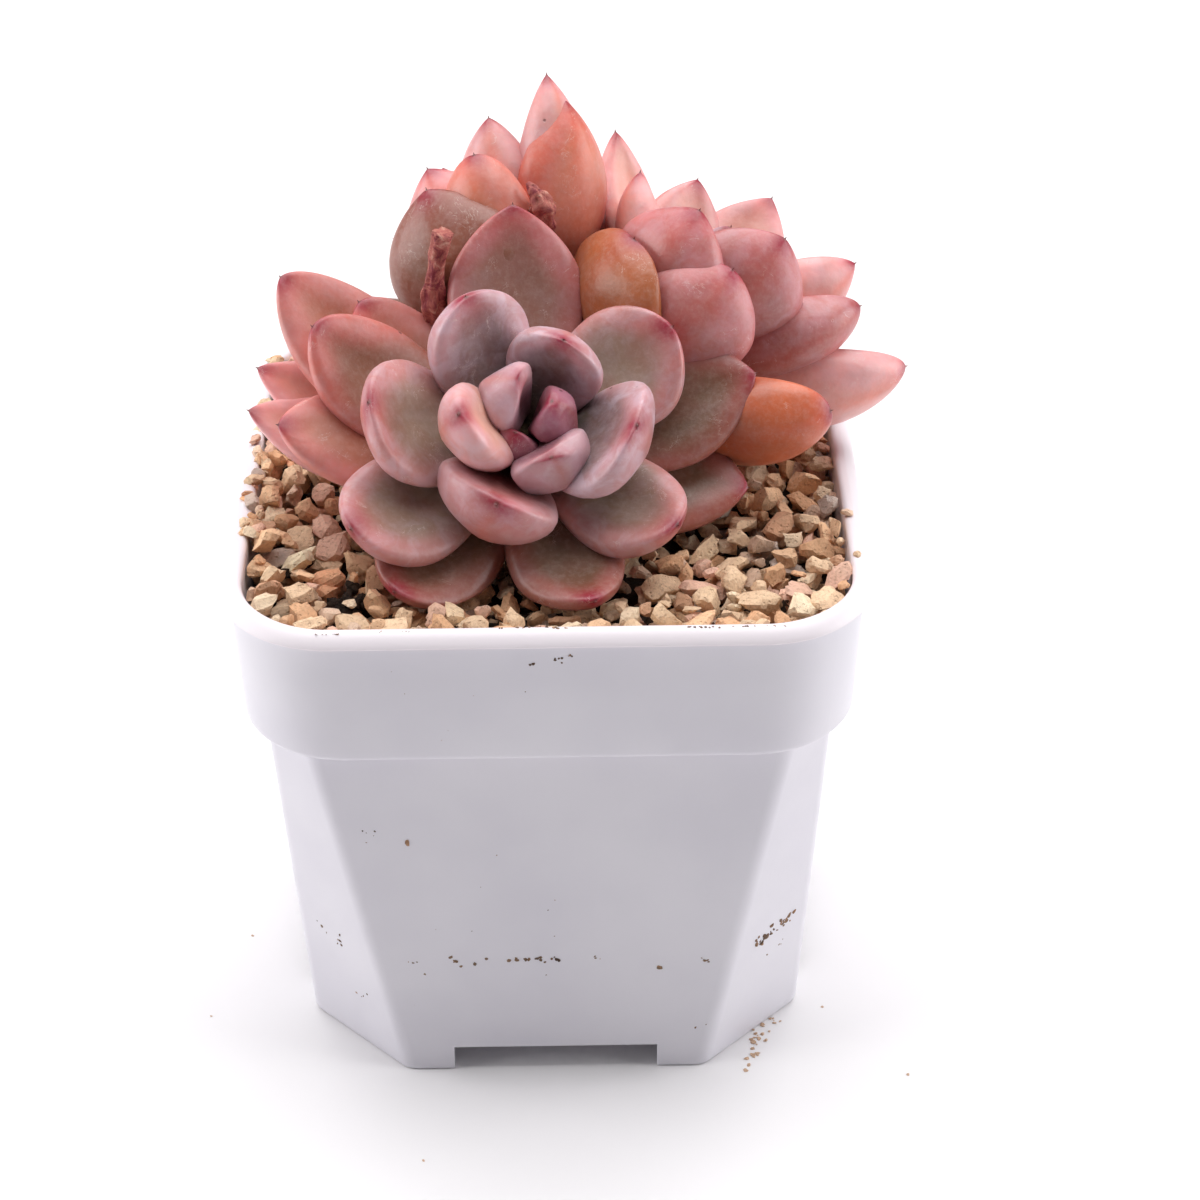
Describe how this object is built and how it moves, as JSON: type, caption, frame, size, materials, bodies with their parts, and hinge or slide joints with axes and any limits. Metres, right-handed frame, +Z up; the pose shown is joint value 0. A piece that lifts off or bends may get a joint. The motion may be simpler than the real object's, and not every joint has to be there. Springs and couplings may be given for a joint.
{
  "type": "potted succulent",
  "caption": "Clustered rosette succulent with plump pink-edged leaves, planted in clay grit in a small square plastic pot with chamfered corners and notched feet",
  "frame": {"origin": "Centre of the whole object's bounding box in X and Y, on the surface the pot's feet stand on (the pot's own axis is a few millimetres to -X, because one leaf overhangs the rim at +X)", "axes": "+Z up along the pot's axis, -Y the side the front rosette faces, +X to the right of that side"},
  "size_m": [0.0812, 0.0758, 0.1112],
  "materials": {
    "pot_plastic": "satin white moulded plastic",
    "potting_mix": "dark crumbly potting mix",
    "clay_grit": "matt baked-clay granules, tan to ochre",
    "stem_bark": "dry woody stem",
    "withered": "papery, dried, red-brown",
    "leaf_bloom": "waxy lilac bloom over pink",
    "leaf_olive": "waxy, olive centre and pink edge",
    "leaf_pink": "waxy, salmon pink to orange"
  },
  "bodies": {
    "root": {"back_leaf_01": "leaf_pink", "back_leaf_02": "leaf_pink", "back_leaf_03": "leaf_pink", "back_leaf_04": "leaf_pink", "back_leaf_05": "leaf_pink", "back_leaf_06": "leaf_pink", "back_leaf_07": "leaf_pink", "back_leaf_08": "leaf_pink", "back_leaf_09": "leaf_pink", "back_leaf_10": "leaf_pink", "back_leaf_11": "leaf_pink", "back_leaf_12": "leaf_pink", "back_leaf_13": "leaf_pink", "flower_stalk_stub": "withered", "front_heart_leaf_1": "leaf_bloom", "front_heart_leaf_2": "leaf_bloom", "front_heart_leaf_3": "leaf_bloom", "front_heart_leaf_4": "leaf_bloom", "front_leaf_01": "leaf_olive", "front_leaf_02": "leaf_olive", "front_leaf_03": "leaf_olive", "front_leaf_04": "leaf_olive", "front_leaf_05": "leaf_olive", "front_leaf_06": "leaf_olive", "front_leaf_07": "leaf_olive", "front_leaf_08": "leaf_olive", "front_leaf_09": "leaf_olive", "front_leaf_10": "leaf_olive", "front_leaf_11": "leaf_olive", "front_leaf_12": "leaf_olive", "front_leaf_13": "leaf_olive", "front_leaf_14": "leaf_olive", "front_leaf_15": "leaf_olive", "front_leaf_16": "leaf_olive", "front_leaf_17": "leaf_olive", "front_leaf_18": "leaf_olive", "front_leaf_19": "leaf_olive", "front_leaf_20": "leaf_olive", "grit_layer": "clay_grit", "pot": "pot_plastic", "potting_mix": "potting_mix", "right_leaf_01": "leaf_pink", "right_leaf_02": "leaf_pink", "right_leaf_03": "leaf_pink", "right_leaf_04": "leaf_pink", "right_leaf_05": "leaf_pink", "right_leaf_06": "leaf_pink", "right_leaf_07": "leaf_pink", "right_leaf_08": "leaf_pink", "right_leaf_09": "leaf_pink", "right_leaf_10": "leaf_pink", "right_leaf_11": "leaf_pink", "right_leaf_12": "leaf_pink", "right_leaf_13": "leaf_pink", "right_leaf_14": "leaf_pink", "right_leaf_15": "leaf_pink", "right_leaf_16": "leaf_pink", "stem": "stem_bark", "withered_leaf_back": "withered", "withered_leaf_right": "withered"}
  },
  "joints": []
}
